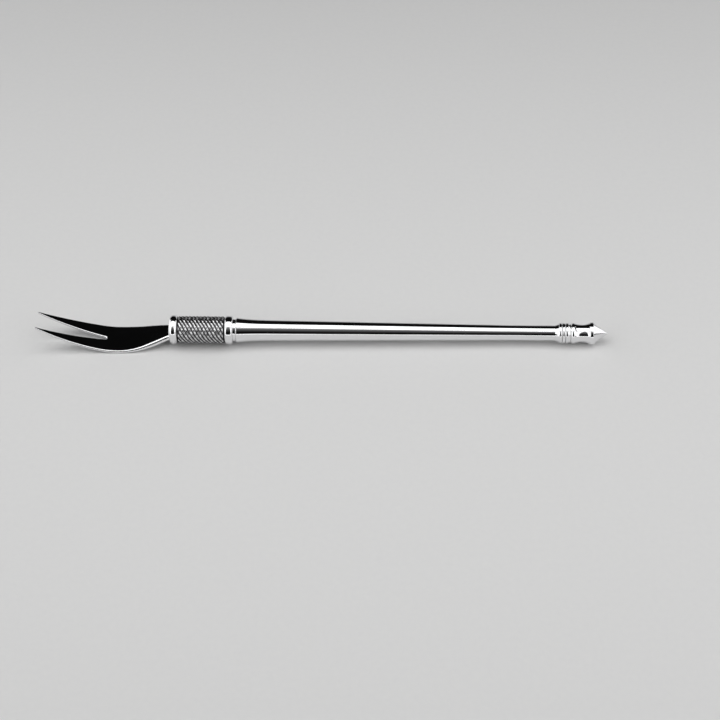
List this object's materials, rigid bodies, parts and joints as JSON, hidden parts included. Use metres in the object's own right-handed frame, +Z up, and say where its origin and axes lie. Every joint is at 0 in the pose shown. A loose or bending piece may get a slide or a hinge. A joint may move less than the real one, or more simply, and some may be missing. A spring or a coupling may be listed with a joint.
{
  "type": "serving fork",
  "caption": "Long two-tined serving fork with a bent polished head, a knurled collar and a tapered round handle ending in a turned finial.",
  "frame": {"origin": "the middle of the fork's footprint, on the surface that it lies on", "axes": "+X along the fork from the tines to the point of the finial, +Y across the blade, +Z up with the tines curving up"},
  "size_m": [0.291, 0.0192, 0.0156],
  "materials": {
    "head_steel": "polished",
    "collar_steel": "polished",
    "handle_steel": "polished"
  },
  "bodies": {
    "root": {"fork_head": "head_steel", "collar": "collar_steel", "handle": "handle_steel"}
  },
  "joints": []
}
